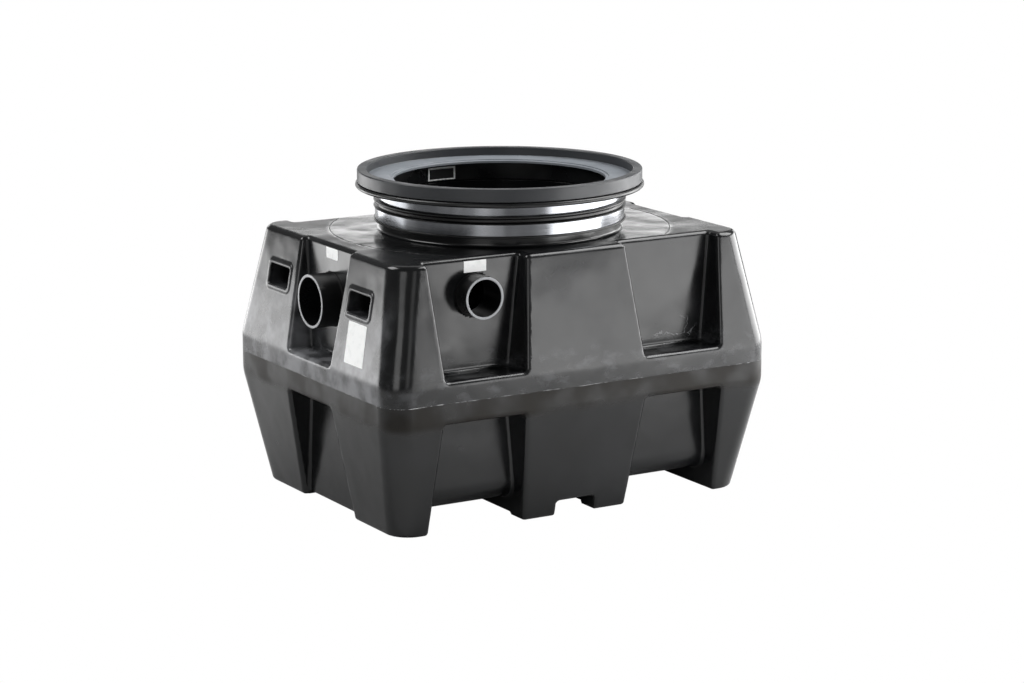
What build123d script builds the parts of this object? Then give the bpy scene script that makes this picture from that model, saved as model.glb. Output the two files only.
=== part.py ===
from build123d import *
import os
from math import cos, pi, radians, sin

# Oil separator: a moulded tank with a pleated wall, a manhole neck with a clamped
# rubber coupling and a cover frame, two plain pipe ends and two vent ends.
# Millimetres, +Z up, +X towards the outlet, origin on the floor under the middle.

# Tank outline, half sizes from the middle
belt_half_length = 469.0
belt_half_width = 360.0
deck_end_lean = 45.0
deck_side_lean = 43.0
foot_end_lean = 44.0
foot_side_lean = 50.0
deck_half_length = belt_half_length - deck_end_lean
deck_half_width = belt_half_width - deck_side_lean
foot_half_length = belt_half_length - foot_end_lean
foot_half_width = belt_half_width - foot_side_lean
corner_radius = 53.0
moulded_edge_radius = 9.0
tank_wall = 9.5

# Tank heights from the floor
parting_height = 288.0
belt_below_parting = 46.0
belt_above_parting = 44.0
belt_bottom = parting_height - belt_below_parting
belt_top = parting_height + belt_above_parting
deck_top = 570.0

# Pleats of the long sides: how deep, and how wide the pillars and corners stay
long_recess_depth = 77.0
long_recess_face = belt_half_width - long_recess_depth
pillar_half_at_deck = 121.0
pillar_half_at_belt = 146.0
corner_width_at_deck = 115.0
corner_width_at_belt = 133.0
corner_inner_at_deck = belt_half_length - corner_width_at_deck
corner_inner_at_belt = belt_half_length - corner_width_at_belt
foot_half_at_belt = 148.0
foot_half_at_floor = 127.0
leg_width_at_belt = 128.0
leg_width_at_floor = 116.0
leg_inner_at_belt = belt_half_length - leg_width_at_belt
leg_inner_at_floor = belt_half_length - leg_width_at_floor

# Pleats of the ends
end_recess_depth = 58.0
end_recess_face = belt_half_length - end_recess_depth
end_recess_half_at_deck = 108.0
end_recess_half_at_belt = 95.0
end_recess_half_at_waist = 96.0
end_recess_half_at_floor = 116.0

# Underside
fork_channel_height = 40.0
underside_bend_radius = 50.0
pad_step = 7.0
middle_pad_length = 56.0
notch_half_width = 48.0
notch_height = 33.0
notch_corner_radius = 8.0

# Lifting pockets in the end faces, placed between the end recess and the corner
pocket_share_of_face = 0.3636
beside_end_recess = deck_half_width - end_recess_half_at_deck
pocket_middle_y = end_recess_half_at_deck + pocket_share_of_face * beside_end_recess
pocket_width = 90.0
pocket_top_below_deck = 74.0
pocket_height = 43.0
pocket_depth = 84.0
pocket_floor_x = belt_half_length - pocket_depth
pocket_frame_width = 9.0
pocket_frame_proud = 2.0
pocket_corner_radius = 4.0

# Neck of the manhole
deck_beside_neck = 56.0
neck_outer_radius = deck_half_width - deck_beside_neck
neck_wall = 10.0
neck_height = 62.0
neck_top = deck_top + neck_height
neck_root_radius = 7.0

# Groove that rings the neck where the deck is wide enough for it
deck_ring_from_neck = 107.0
deck_ring_radius = neck_outer_radius + deck_ring_from_neck
deck_ring_width = 2.5
deck_ring_depth = 1.2
deck_ring_from_recess = 13.0
deck_ring_end_y = long_recess_face - deck_ring_from_recess

# Riser collar and cover frame, stepped from the neck
riser_step_in = 6.0
riser_outer_radius = neck_outer_radius - riser_step_in
riser_wall = 9.0
riser_end_gap = 3.0
riser_bottom = neck_top + riser_end_gap
flange_overhang = 57.0
flange_radius = riser_outer_radius + flange_overhang
flange_above_neck = 29.0
flange_bottom = neck_top + flange_above_neck
flange_thickness = 10.0
flange_edge_radius = 4.5
frame_set_in = 4.0
frame_radius = flange_radius - frame_set_in
frame_height = 27.5
frame_rim_width = 20.0
frame_ledge_width = 52.0
frame_ledge_depth = 19.0
frame_lip_width = 7.0
frame_lip_thickness = 6.0
frame_lift = 1.5
frame_edge_radius = 2.5
frame_bottom = flange_bottom + flange_thickness + frame_lift
frame_top = frame_bottom + frame_height
frame_rim_inner = frame_radius - frame_rim_width
frame_bore_radius = frame_rim_inner - frame_ledge_width
frame_lip_radius = frame_bore_radius - frame_lip_width
gasket_set_in = 8.0
gasket_width = 38.0
gasket_outer_radius = frame_radius - gasket_set_in
gasket_inner_radius = gasket_outer_radius - gasket_width

# Rubber coupling and its band clamps
coupling_above_deck = 20.0
coupling_past_neck = 24.0
coupling_bottom = deck_top + coupling_above_deck
coupling_top = neck_top + coupling_past_neck
coupling_wall = 7.0
coupling_ridge_proud = 12.0
coupling_ridge_radius = neck_outer_radius + coupling_ridge_proud
coupling_ridge_height = 7.0
coupling_waist_proud = 5.0
coupling_waist_radius = neck_outer_radius + coupling_waist_proud
coupling_lip_height = 4.5
coupling_lip_proud = 3.5
coupling_lip_radius = neck_outer_radius + coupling_lip_proud
seat_gap = 0.3
lower_band_width = 24.0
upper_band_width = 17.0
band_thickness = 1.2
clamp_housing_length = 34.0
clamp_housing_height = 11.0
clamp_housing_depth = 11.0
clamp_screw_radius = 4.0
clamp_screw_overhang = 10.0
clamp_head_radius = 5.2
clamp_angle = 58.0

# Pipe ends
pipe_radius = 57.15
pipe_wall = 6.0
pipe_below_deck = 118.5
pipe_height = deck_top - pipe_below_deck
pipe_out_of_recess = 51.6
pipe_into_tank = 25.0
pipe_mouth_x = end_recess_face + pipe_out_of_recess
pipe_inner_end_x = end_recess_face - pipe_into_tank
pipe_weld_radius = 62.0
pipe_weld_length = 5.0

# Elbows and drop pipes inside the tank
elbow_bend_radius = 70.0
elbow_socket_radius = 63.5
elbow_socket_length = 32.0
elbow_wall_gap = 2.0
elbow_shoulder = 2.0
inlet_drop_bottom = 170.0
outlet_drop_bottom = 110.0

# Vent ends, placed between the pillar and the corner
vent_radius = 44.45
vent_wall = 5.5
vent_share_of_recess = 0.4316
vent_x = pillar_half_at_belt + vent_share_of_recess * (corner_inner_at_belt - pillar_half_at_belt)
vent_below_deck = 80.0
vent_height = deck_top - vent_below_deck
vent_out_of_recess = 45.0
vent_into_tank = 28.0
vent_mouth_y = long_recess_face + vent_out_of_recess
vent_inner_end_y = long_recess_face - vent_into_tank
vent_weld_radius = 48.5
vent_weld_length = 4.0

# Where the moulding is divided into pieces
floor_split = 96.0
deck_rim_height = 24.0
deck_split = deck_top - deck_rim_height
panel_past_foot = 17.0
panel_inner_x = foot_half_at_belt + panel_past_foot
end_foot_length = 144.0
panel_outer_x = belt_half_length - end_foot_length

# How far cutting shapes reach past the material they cut
reach = 60.0

# How near an edge lies to its nominal place when it is looked up
edge_search_slack = 1.0
level_slack = 0.1


def blend(low, high, share):
    """Value at a share of the way from low to high."""
    return low + (high - low) * share


def section(half_length, half_width, radius, height):
    """Rounded rectangle of the tank at one height."""
    return Pos(0, 0, height) * RectangleRounded(2 * half_length, 2 * half_width, radius)


def tank_body(inset):
    """Tank outline without pleats, a given distance inside the outer skin."""
    radius = corner_radius - inset
    sections = [
        section(foot_half_length - inset, foot_half_width - inset, radius, 0),
        section(belt_half_length - inset, belt_half_width - inset, radius, belt_bottom),
        section(belt_half_length - inset, belt_half_width - inset, radius, belt_top),
        section(deck_half_length - inset, deck_half_width - inset, radius, deck_top),
    ]
    return loft(sections, ruled=True)


def sloped_panel(near_low, far_low, near_high, far_high, low, high, margin, extend_up, extend_down):
    """Face in the XZ plane between two sloping lines, widened by a margin.

    Each line runs from its value at the low height to its value at the high one,
    and goes on with the same slope past either end."""
    rise = high - low
    top = high + extend_up
    bottom = low - extend_down
    share_top = (top - low) / rise
    share_bottom = (bottom - low) / rise
    corners = [
        (blend(near_low, near_high, share_bottom) - margin, 0, bottom),
        (blend(far_low, far_high, share_bottom) + margin, 0, bottom),
        (blend(far_low, far_high, share_top) + margin, 0, top),
        (blend(near_low, near_high, share_top) - margin, 0, top),
    ]
    return make_face(Polyline(*corners, close=True))


def both_ways(solid, across):
    """A solid and its mirror image across a plane."""
    return solid + mirror(solid, about=across)


def upper_long_recess(margin):
    """Cutter for the four recesses between the pillars of the long sides."""
    panel = sloped_panel(
        pillar_half_at_belt, corner_inner_at_belt, pillar_half_at_deck, corner_inner_at_deck,
        belt_top, deck_top, margin, reach, margin)
    depth = belt_half_width + reach - long_recess_face + margin
    cutter = Pos(0, -long_recess_face + margin, 0) * extrude(panel, depth, dir=(0, -1, 0))
    return both_ways(both_ways(cutter, Plane.YZ), Plane.XZ)


def upper_end_recess(margin):
    """Cutter for the recess round each pipe end."""
    low = end_recess_half_at_belt
    high = end_recess_half_at_deck
    panel = sloped_panel(-low, low, -high, high, belt_top, deck_top, margin, reach, margin)
    depth = belt_half_length + reach - end_recess_face + margin
    cutter = extrude(Rot(0, 0, 90) * panel, depth, dir=(1, 0, 0))
    cutter = Pos(end_recess_face - margin, 0, 0) * cutter
    return both_ways(cutter, Plane.YZ)


def fork_side_profile(margin):
    """Outside of the tank seen along X: the recess face, its bend and the underside."""
    face = long_recess_face - margin
    roof = fork_channel_height + margin
    bend = underside_bend_radius - margin
    far = belt_half_width + reach
    top = belt_bottom + margin
    outline = [
        Line((0, 0, -reach), (0, -far, -reach)),
        Line((0, -far, -reach), (0, -far, top)),
        Line((0, -far, top), (0, -face, top)),
        Line((0, -face, top), (0, -face, roof + bend)),
        ThreePointArc(
            (0, -face, roof + bend),
            (0, -face + bend * (1 - cos(radians(45))), roof + bend * (1 - sin(radians(45)))),
            (0, -face + bend, roof)),
        Line((0, -face + bend, roof), (0, 0, roof)),
        Line((0, 0, roof), (0, 0, -reach)),
    ]
    return make_face(Wire(outline))


def lower_long_recess(margin):
    """Cutter for the lower recesses and the two fork channels that join them."""
    panel = sloped_panel(
        foot_half_at_floor, leg_inner_at_floor, foot_half_at_belt, leg_inner_at_belt,
        0, belt_bottom, margin, margin, reach)
    sweep_half = belt_half_width + reach
    walls = Pos(0, sweep_half, 0) * extrude(panel, 2 * sweep_half, dir=(0, -1, 0))
    profile = extrude(fork_side_profile(margin), belt_half_length, dir=(1, 0, 0))
    cutter = walls & both_ways(profile, Plane.XZ)
    return both_ways(cutter, Plane.YZ)


def lower_end_recess(margin):
    """Cutter for the recess under each pipe end."""
    low = end_recess_half_at_floor
    high = end_recess_half_at_waist
    panel = sloped_panel(-low, low, -high, high, 0, belt_bottom, margin, margin, reach)
    depth = belt_half_length + reach - end_recess_face + margin
    cutter = Pos(end_recess_face - margin, 0, 0) * extrude(Rot(0, 0, 90) * panel, depth, dir=(1, 0, 0))
    return both_ways(cutter, Plane.YZ)


def notch(margin):
    """Cutter for the channel through the middle foot."""
    height = notch_height + margin
    profile = Pos(0, (height - reach) / 2) * RectangleRounded(
        2 * (notch_half_width + margin), height + reach, notch_corner_radius + margin)
    return extrude(Plane.XZ * profile, belt_half_width, both=True)


def pad_relief():
    """Cutter that lifts the underside between the pads a little off the floor."""
    middle_half = foot_half_width - middle_pad_length
    middle = Box(2 * foot_half_at_belt, 2 * middle_half, 2 * pad_step)
    end_length = foot_half_length - leg_inner_at_floor + reach
    end_middle = leg_inner_at_floor + end_length / 2 - reach / 2
    end = Pos(end_middle, 0, 0) * Box(end_length, 2 * end_recess_half_at_floor, 2 * pad_step)
    return middle + both_ways(end, Plane.YZ)


def pocket_shape(side_x, side_y, margin, inner_x):
    """Straight block of a lifting pocket, from its blind end out past the face."""
    middle_z = deck_top - pocket_top_below_deck - pocket_height / 2
    length = belt_half_length + reach - inner_x
    profile = RectangleRounded(
        pocket_width + 2 * margin, pocket_height + 2 * margin, pocket_corner_radius + margin)
    middle = (side_x * inner_x, side_y * pocket_middle_y, middle_z)
    blind_end = Plane(middle, x_dir=(0, 1, 0), z_dir=(side_x, 0, 0))
    return extrude(blind_end * profile, length)


def level_at(edge, height):
    """Whether both ends of an edge lie at a height."""
    return abs((edge @ 0).Z - height) < level_slack and abs((edge @ 1).Z - height) < level_slack


def half_size_at(height, foot_half, belt_half, deck_half):
    """Half size of the tank at a height, along its length or its width."""
    if height < belt_bottom:
        return blend(foot_half, belt_half, height / belt_bottom)
    if height > belt_top:
        return blend(belt_half, deck_half, (height - belt_top) / (deck_top - belt_top))
    return belt_half


def is_full_circle(edge, radius):
    """Whether an edge is a whole circle of a radius."""
    return edge.geom_type == GeomType.CIRCLE and abs(edge.length - 2 * pi * radius) < edge_search_slack


def on_long_skin(point):
    """Whether a point lies on the outer face of a long side."""
    skin_y = half_size_at(point.Z, foot_half_width, belt_half_width, deck_half_width)
    return abs(abs(point.Y) - skin_y) < edge_search_slack


def on_end_skin(point):
    """Whether a point lies on the outer face of an end."""
    skin_x = half_size_at(point.Z, foot_half_length, belt_half_length, deck_half_length)
    return abs(abs(point.X) - skin_x) < edge_search_slack


def is_pleat_edge(edge):
    """Upright edge where the side of a recess meets the outer skin."""
    start = edge @ 0
    end = edge @ 1
    if abs(start.Z - end.Z) < (deck_top - belt_top) / 2:
        return False
    long_reach = corner_inner_at_deck + edge_search_slack
    end_reach = end_recess_half_at_floor + edge_search_slack
    on_long = on_long_skin(start) and on_long_skin(end)
    on_end = on_end_skin(start) and on_end_skin(end)
    long_pleat = on_long and abs(start.X) < long_reach and abs(end.X) < long_reach
    end_pleat = on_end and abs(start.Y) < end_reach and abs(end.Y) < end_reach
    return long_pleat or end_pleat


def is_ledge_edge(edge):
    """Level edge along the top of the belt, under a recess."""
    if not level_at(edge, belt_top):
        return False
    start = edge @ 0
    end = edge @ 1
    middle_x = abs(start.X + end.X) / 2
    middle_y = abs(start.Y + end.Y) / 2
    beside_pillar = pillar_half_at_belt < middle_x < corner_inner_at_belt
    on_long = on_long_skin(start) and on_long_skin(end) and beside_pillar
    on_end = on_end_skin(start) and on_end_skin(end) and middle_y < edge_search_slack
    return on_long or on_end


def is_moulded_edge(edge):
    """Edge of the outer skin that the moulding rounds: round the deck, up the pleats, along the belt."""
    return level_at(edge, deck_top) or is_pleat_edge(edge) or is_ledge_edge(edge)


def tank_outer():
    """Outer skin of the tank as a filled shape, with its moulded edges rounded."""
    form = tank_body(0)
    form -= upper_long_recess(0)
    form -= upper_end_recess(0)
    form -= lower_long_recess(0)
    form -= lower_end_recess(0)
    form -= pad_relief()
    form -= notch(0)
    form = fillet([edge for edge in form.edges() if is_moulded_edge(edge)], moulded_edge_radius)
    for side_x in (-1, 1):
        for side_y in (-1, 1):
            frame = pocket_shape(side_x, side_y, pocket_frame_width, pocket_floor_x + pocket_frame_width)
            form += frame & tank_body(-pocket_frame_proud)
            form -= pocket_shape(side_x, side_y, 0, pocket_floor_x)
    return form


def tank_inner():
    """Space inside the tank as a filled shape."""
    form = tank_body(tank_wall)
    form -= upper_long_recess(tank_wall)
    form -= upper_end_recess(tank_wall)
    form -= lower_long_recess(tank_wall)
    form -= lower_end_recess(tank_wall)
    form -= notch(tank_wall)
    for side_x in (-1, 1):
        for side_y in (-1, 1):
            form -= pocket_shape(side_x, side_y, tank_wall, pocket_floor_x - tank_wall)
    low = pad_step + tank_wall
    high = deck_top - tank_wall
    clip = Pos(0, 0, (low + high) / 2) * Box(3 * belt_half_length, 3 * belt_half_width, high - low)
    return form & clip


def rod(radius, start, end):
    """Round bar between two points."""
    direction = Vector(*end) - Vector(*start)
    plane = Plane(start, z_dir=direction)
    return extrude(plane * Circle(radius), direction.length)


def tube(outer_radius, inner_radius, start, end):
    """Round tube between two points."""
    direction = Vector(*end) - Vector(*start)
    plane = Plane(start, z_dir=direction)
    return extrude(plane * (Circle(outer_radius) - Circle(inner_radius)), direction.length)


def ring_of(*outline):
    """Ring turned about the upright axis from radius and height points."""
    profile = make_face(Polyline(*[(radius, 0, height) for radius, height in outline], close=True))
    return revolve(profile, Axis.Z)


def tank_shell():
    """Whole tank wall, open at the manhole and at the four pipe holes."""
    shell = tank_outer() - tank_inner()
    manhole = neck_outer_radius - neck_wall
    shell -= Pos(0, 0, deck_top) * Cylinder(manhole, 4 * tank_wall)
    hole = pipe_radius + seat_gap
    for side in (-1, 1):
        hole_start = (side * pipe_inner_end_x, 0, pipe_height)
        hole_end = (side * (belt_half_length + reach), 0, pipe_height)
        shell -= rod(hole, hole_start, hole_end)
        vent_start = (side * vent_x, side * vent_inner_end_y, vent_height)
        vent_end_point = (side * vent_x, side * (belt_half_width + reach), vent_height)
        shell -= rod(vent_radius + seat_gap, vent_start, vent_end_point)
    return shell


def slab(low, high):
    """Wide level block between two heights."""
    size = 3 * belt_half_length
    return Pos(0, 0, (low + high) / 2) * Box(size, size, high - low)


def strip(low, high):
    """Wide upright block between two places along the length."""
    size = 3 * belt_half_length
    return Pos((low + high) / 2, 0, 0) * Box(high - low, size, size)


def front_region():
    """Upright wedge over the front side, mitred through the corners of the tank."""
    ridge = belt_half_length - belt_half_width
    outer = 2 * belt_half_width
    corners = [(-ridge, 0), (ridge, 0), (ridge + outer, -outer), (-ridge - outer, -outer)]
    return extrude(make_face(Polyline(*corners, close=True)), deck_top + reach)


def inlet_region():
    """Upright wedge over the inlet end, mitred through the corners of the tank."""
    ridge = belt_half_length - belt_half_width
    outer = 2 * belt_half_width
    corners = [(-ridge, 0), (-ridge - outer, outer), (-ridge - outer, -outer)]
    return extrude(make_face(Polyline(*corners, close=True)), deck_top + reach)


def deck_ring():
    """Groove in the deck round the neck, as the tool that cuts it."""
    height = 2 * deck_ring_depth
    outer = deck_ring_radius + deck_ring_width / 2
    groove = Cylinder(outer, height) - Cylinder(outer - deck_ring_width, height)
    clip = Box(3 * belt_half_length, 2 * deck_ring_end_y, 2 * height)
    return Pos(0, 0, deck_top) * (groove & clip)


def tank_parts():
    """The tank wall divided into feet, floor panels, walls and deck."""
    shell = tank_shell()
    far = 2 * belt_half_length
    base = shell & slab(-reach, floor_split)
    lower = shell & slab(floor_split, parting_height)
    upper = shell & slab(parting_height, deck_split)
    parts = {
        "deck": (shell & slab(deck_split, deck_top + reach)) - deck_ring(),
        "inlet_foot": base & strip(-far, -panel_outer_x),
        "inlet_floor_panel": base & strip(-panel_outer_x, -panel_inner_x),
        "middle_foot": base & strip(-panel_inner_x, panel_inner_x),
        "outlet_floor_panel": base & strip(panel_inner_x, panel_outer_x),
        "outlet_foot": base & strip(panel_outer_x, far),
    }
    for level, ring in (("lower", lower), ("upper", upper)):
        front_wall = ring & front_region()
        inlet_wall = ring & inlet_region()
        parts[f"{level}_front_wall"] = front_wall
        parts[f"{level}_back_wall"] = Rot(0, 0, 180) * front_wall
        parts[f"{level}_inlet_wall"] = inlet_wall
        parts[f"{level}_outlet_wall"] = Rot(0, 0, 180) * inlet_wall
    return parts


def manhole_neck():
    """Upstand moulded on the deck, with a rounded root."""
    inner = neck_outer_radius - neck_wall
    root = neck_root_radius
    middle = root * (1 - sin(radians(45)))
    outline = [
        Line((inner, 0, deck_top), (neck_outer_radius + root, 0, deck_top)),
        ThreePointArc(
            (neck_outer_radius + root, 0, deck_top),
            (neck_outer_radius + middle, 0, deck_top + middle),
            (neck_outer_radius, 0, deck_top + root)),
        Line((neck_outer_radius, 0, deck_top + root), (neck_outer_radius, 0, neck_top)),
        Line((neck_outer_radius, 0, neck_top), (inner, 0, neck_top)),
        Line((inner, 0, neck_top), (inner, 0, deck_top)),
    ]
    return revolve(make_face(Wire(outline)), Axis.Z)


def coupling_sleeve():
    """Rubber sleeve that joins the neck to the riser, grooved for its two bands."""
    neck_side = neck_outer_radius + seat_gap
    riser_side = riser_outer_radius + seat_gap
    lower_seat = neck_side + coupling_wall
    upper_seat = riser_side + coupling_wall
    lower_groove = coupling_bottom + coupling_lip_height
    lower_groove_top = lower_groove + lower_band_width + 2 * seat_gap
    upper_groove_top = coupling_top - coupling_lip_height / 2
    upper_groove = upper_groove_top - upper_band_width - 2 * seat_gap
    waist = lower_groove_top + coupling_lip_height / 2
    return ring_of(
        (neck_side, coupling_bottom),
        (coupling_ridge_radius, coupling_bottom),
        (coupling_ridge_radius, lower_groove),
        (lower_seat, lower_groove),
        (lower_seat, lower_groove_top),
        (coupling_ridge_radius, lower_groove_top),
        (coupling_ridge_radius, waist),
        (coupling_waist_radius, waist + coupling_lip_height / 2),
        (coupling_waist_radius, upper_groove - coupling_ridge_height),
        (coupling_ridge_radius, upper_groove - coupling_ridge_height / 2),
        (coupling_ridge_radius, upper_groove),
        (upper_seat, upper_groove),
        (upper_seat, upper_groove_top),
        (coupling_lip_radius, upper_groove_top),
        (coupling_lip_radius, coupling_top),
        (riser_side, coupling_top),
        (riser_side, neck_top + seat_gap),
        (neck_side, neck_top + seat_gap))


def band(seat_radius, bottom, width):
    """Steel band lying in its groove of the sleeve."""
    inner = seat_radius + seat_gap
    outer = inner + band_thickness
    return ring_of((inner, bottom), (outer, bottom), (outer, bottom + width), (inner, bottom + width))


def clamp_screw(band_outer_radius, middle_height):
    """Worm housing and screw that tighten a band, lying along the band at the back."""
    inner = band_outer_radius + seat_gap
    middle = inner + clamp_housing_depth / 2
    housing = Box(clamp_housing_depth, clamp_housing_length, clamp_housing_height)
    screw_start = -clamp_housing_length / 2
    screw_end = clamp_housing_length / 2 + clamp_screw_overhang
    screw = rod(clamp_screw_radius, (0, screw_start, 0), (0, screw_end, 0))
    head_plane = Plane((0, screw_end, 0), z_dir=(0, 1, 0))
    head = extrude(head_plane * RegularPolygon(clamp_head_radius, 6), clamp_screw_radius)
    return Rot(0, 0, clamp_angle) * Pos(middle, 0, middle_height) * (housing + screw + head)


def coupling_parts():
    """Sleeve with its two band clamps."""
    lower_seat = neck_outer_radius + seat_gap + coupling_wall
    upper_seat = riser_outer_radius + seat_gap + coupling_wall
    lower_bottom = coupling_bottom + coupling_lip_height + seat_gap
    upper_bottom = coupling_top - coupling_lip_height / 2 - seat_gap - upper_band_width
    band_depth = seat_gap + band_thickness
    return {
        "coupling_sleeve": coupling_sleeve(),
        "lower_band": band(lower_seat, lower_bottom, lower_band_width),
        "upper_band": band(upper_seat, upper_bottom, upper_band_width),
        "lower_band_screw": clamp_screw(lower_seat + band_depth, lower_bottom + lower_band_width / 2),
        "upper_band_screw": clamp_screw(upper_seat + band_depth, upper_bottom + upper_band_width / 2),
    }


def riser_collar():
    """Short riser whose flange carries the cover frame."""
    inner = riser_outer_radius - riser_wall
    flange_top = flange_bottom + flange_thickness
    collar = ring_of(
        (inner, riser_bottom),
        (riser_outer_radius, riser_bottom),
        (riser_outer_radius, flange_bottom),
        (flange_radius, flange_bottom),
        (flange_radius, flange_top),
        (inner, flange_top))
    rim = [edge for edge in collar.edges() if is_full_circle(edge, flange_radius)]
    return fillet(rim, flange_edge_radius)


def cover_frame():
    """Frame with an upstanding rim and a ledge on which the cover rests."""
    ledge = frame_top - frame_ledge_depth
    lip_top = frame_bottom + frame_lip_thickness
    frame = ring_of(
        (frame_lip_radius, frame_bottom),
        (frame_radius, frame_bottom),
        (frame_radius, frame_top),
        (frame_rim_inner, frame_top),
        (frame_rim_inner, ledge),
        (frame_bore_radius, ledge),
        (frame_bore_radius, lip_top),
        (frame_lip_radius, lip_top))
    top_edges = [edge for edge in frame.edges() if level_at(edge, frame_top) and edge.length > frame_radius]
    return fillet(top_edges, frame_edge_radius)


def frame_gasket():
    """Thin sealing ring between the riser flange and the cover frame."""
    bottom = flange_bottom + flange_thickness
    return tube(gasket_outer_radius, gasket_inner_radius, (0, 0, bottom), (0, 0, bottom + frame_lift))


def pipe_end(side):
    """Plain pipe end welded through an end wall."""
    bore = pipe_radius - pipe_wall
    inner = (side * pipe_inner_end_x, 0, pipe_height)
    mouth = (side * pipe_mouth_x, 0, pipe_height)
    weld_start = (side * end_recess_face, 0, pipe_height)
    weld_end = (side * (end_recess_face + pipe_weld_length), 0, pipe_height)
    pipe = tube(pipe_radius, bore, inner, mouth)
    return pipe + tube(pipe_weld_radius, pipe_radius - pipe_wall / 2, weld_start, weld_end)


def vent_end(side):
    """Plain vent end welded through a long side."""
    bore = vent_radius - vent_wall
    inner = (side * vent_x, side * vent_inner_end_y, vent_height)
    mouth = (side * vent_x, side * vent_mouth_y, vent_height)
    weld_start = (side * vent_x, side * long_recess_face, vent_height)
    weld_end = (side * vent_x, side * (long_recess_face + vent_weld_length), vent_height)
    pipe = tube(vent_radius, bore, inner, mouth)
    return pipe + tube(vent_weld_radius, vent_radius - vent_wall / 2, weld_start, weld_end)


def outlet_elbow():
    """Elbow inside the tank, socketed over the inner end of a pipe end and over a drop pipe."""
    bore = pipe_radius - pipe_wall
    socket_bore = pipe_radius + seat_gap
    axis_x = pipe_inner_end_x - elbow_bend_radius
    bend_bottom = pipe_height - elbow_bend_radius
    share = sin(radians(45))
    start = (pipe_inner_end_x, 0, pipe_height)
    middle = (axis_x + elbow_bend_radius * (1 - share), 0, bend_bottom + elbow_bend_radius * share)
    drop_start = (axis_x, 0, bend_bottom)
    ring = Plane(start, z_dir=(-1, 0, 0)) * (Circle(pipe_radius) - Circle(bore))
    turn = sweep(ring, path=ThreePointArc(start, middle, drop_start))
    pipe_socket_end = (end_recess_face - tank_wall - elbow_wall_gap, 0, pipe_height)
    drop_socket_end = (axis_x, 0, bend_bottom - elbow_socket_length)
    pipe_stop = (pipe_inner_end_x - elbow_shoulder, 0, pipe_height)
    drop_stop = (axis_x, 0, bend_bottom + elbow_shoulder)
    pipe_socket = tube(elbow_socket_radius, socket_bore, start, pipe_socket_end)
    pipe_shoulder = tube(elbow_socket_radius, bore, pipe_stop, start)
    drop_socket = tube(elbow_socket_radius, socket_bore, drop_start, drop_socket_end)
    drop_shoulder = tube(elbow_socket_radius, bore, drop_stop, drop_start)
    return turn + pipe_socket + pipe_shoulder + drop_socket + drop_shoulder


def drop_pipe(side, bottom):
    """Straight pipe that hangs from an elbow inside the tank."""
    axis_x = side * (pipe_inner_end_x - elbow_bend_radius)
    top = pipe_height - elbow_bend_radius
    return tube(pipe_radius, pipe_radius - pipe_wall, (axis_x, 0, bottom), (axis_x, 0, top))


def separator_parts():
    """Every piece by name."""
    parts = tank_parts()
    parts["manhole_neck"] = manhole_neck()
    parts.update(coupling_parts())
    parts["riser_collar"] = riser_collar()
    parts["frame_gasket"] = frame_gasket()
    parts["cover_frame"] = cover_frame()
    parts["inlet_pipe"] = pipe_end(-1)
    parts["outlet_pipe"] = pipe_end(1)
    parts["front_vent"] = vent_end(-1)
    parts["back_vent"] = vent_end(1)
    parts["outlet_elbow"] = outlet_elbow()
    parts["inlet_elbow"] = Rot(0, 0, 180) * parts["outlet_elbow"]
    parts["inlet_drop_pipe"] = drop_pipe(-1, inlet_drop_bottom)
    parts["outlet_drop_pipe"] = drop_pipe(1, outlet_drop_bottom)
    return parts


os.makedirs("parts", exist_ok=True)
for name, piece in separator_parts().items():
    export_step(piece, f"parts/{name}.step")
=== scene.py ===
import math
import bpy
import numpy as np
from mathutils import Matrix, Vector
from mathutils.geometry import delaunay_2d_cdt


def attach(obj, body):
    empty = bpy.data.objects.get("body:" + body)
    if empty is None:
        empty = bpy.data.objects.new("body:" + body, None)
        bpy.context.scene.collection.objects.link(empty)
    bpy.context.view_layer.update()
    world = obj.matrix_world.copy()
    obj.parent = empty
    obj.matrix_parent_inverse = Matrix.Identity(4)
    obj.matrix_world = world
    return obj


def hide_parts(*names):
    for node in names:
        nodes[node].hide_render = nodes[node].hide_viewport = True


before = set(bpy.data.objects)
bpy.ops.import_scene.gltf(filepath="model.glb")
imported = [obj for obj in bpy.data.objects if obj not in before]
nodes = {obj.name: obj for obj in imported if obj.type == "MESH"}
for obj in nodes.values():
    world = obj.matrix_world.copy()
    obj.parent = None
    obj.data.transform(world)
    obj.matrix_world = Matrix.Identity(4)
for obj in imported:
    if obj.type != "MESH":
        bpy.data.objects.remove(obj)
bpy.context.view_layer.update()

# Lengths are in millimetres, as in the part's source, and become metres where a mesh
# or a shader node is made. x runs from the inlet end to the outlet end, y from front
# to back and z up from the floor.
mm = 0.001

# Tank outline: half length and half width at the foot, the belt and the deck
foot_half = (425, 310)
belt_half = (469, 360)
deck_half = (424, 317)
corner_radius = 53
belt_bottom, parting_height, belt_top = 242, 288, 332
deck_top = 570
wall = 9.5

# Recesses: where their backs stand, then each leaning edge at its low and its high end
long_recess_face = 283
end_recess_face = 411
pillar_upper = (146, 121)
corner_upper = (336, 354)
foot_lower = (127, 148)
leg_lower = (353, 341)
end_upper = (95, 108)
end_lower = (116, 96)

# Underside: the channels between the feet, the pads under the feet and the notch
channel_height, underside_bend = 40, 50
middle_pad_start = 254
pad_step, pad_edge = 7, 3
notch_half, notch_height = 48, 33
notch_bend, notch_edge = 8, 5

# Lifting pockets of the end walls, and the raised surround of each
pocket_middle = (184, 474.5)
pocket_half = (45, 21.5)
pocket_floor = 385
pocket_corner, pocket_crease, pocket_edge = 6, 4, 2.5
surround_width, surround_proud = 9, 2
surround_corner, surround_edge, surround_foot = 12, 2.0, 4

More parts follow.
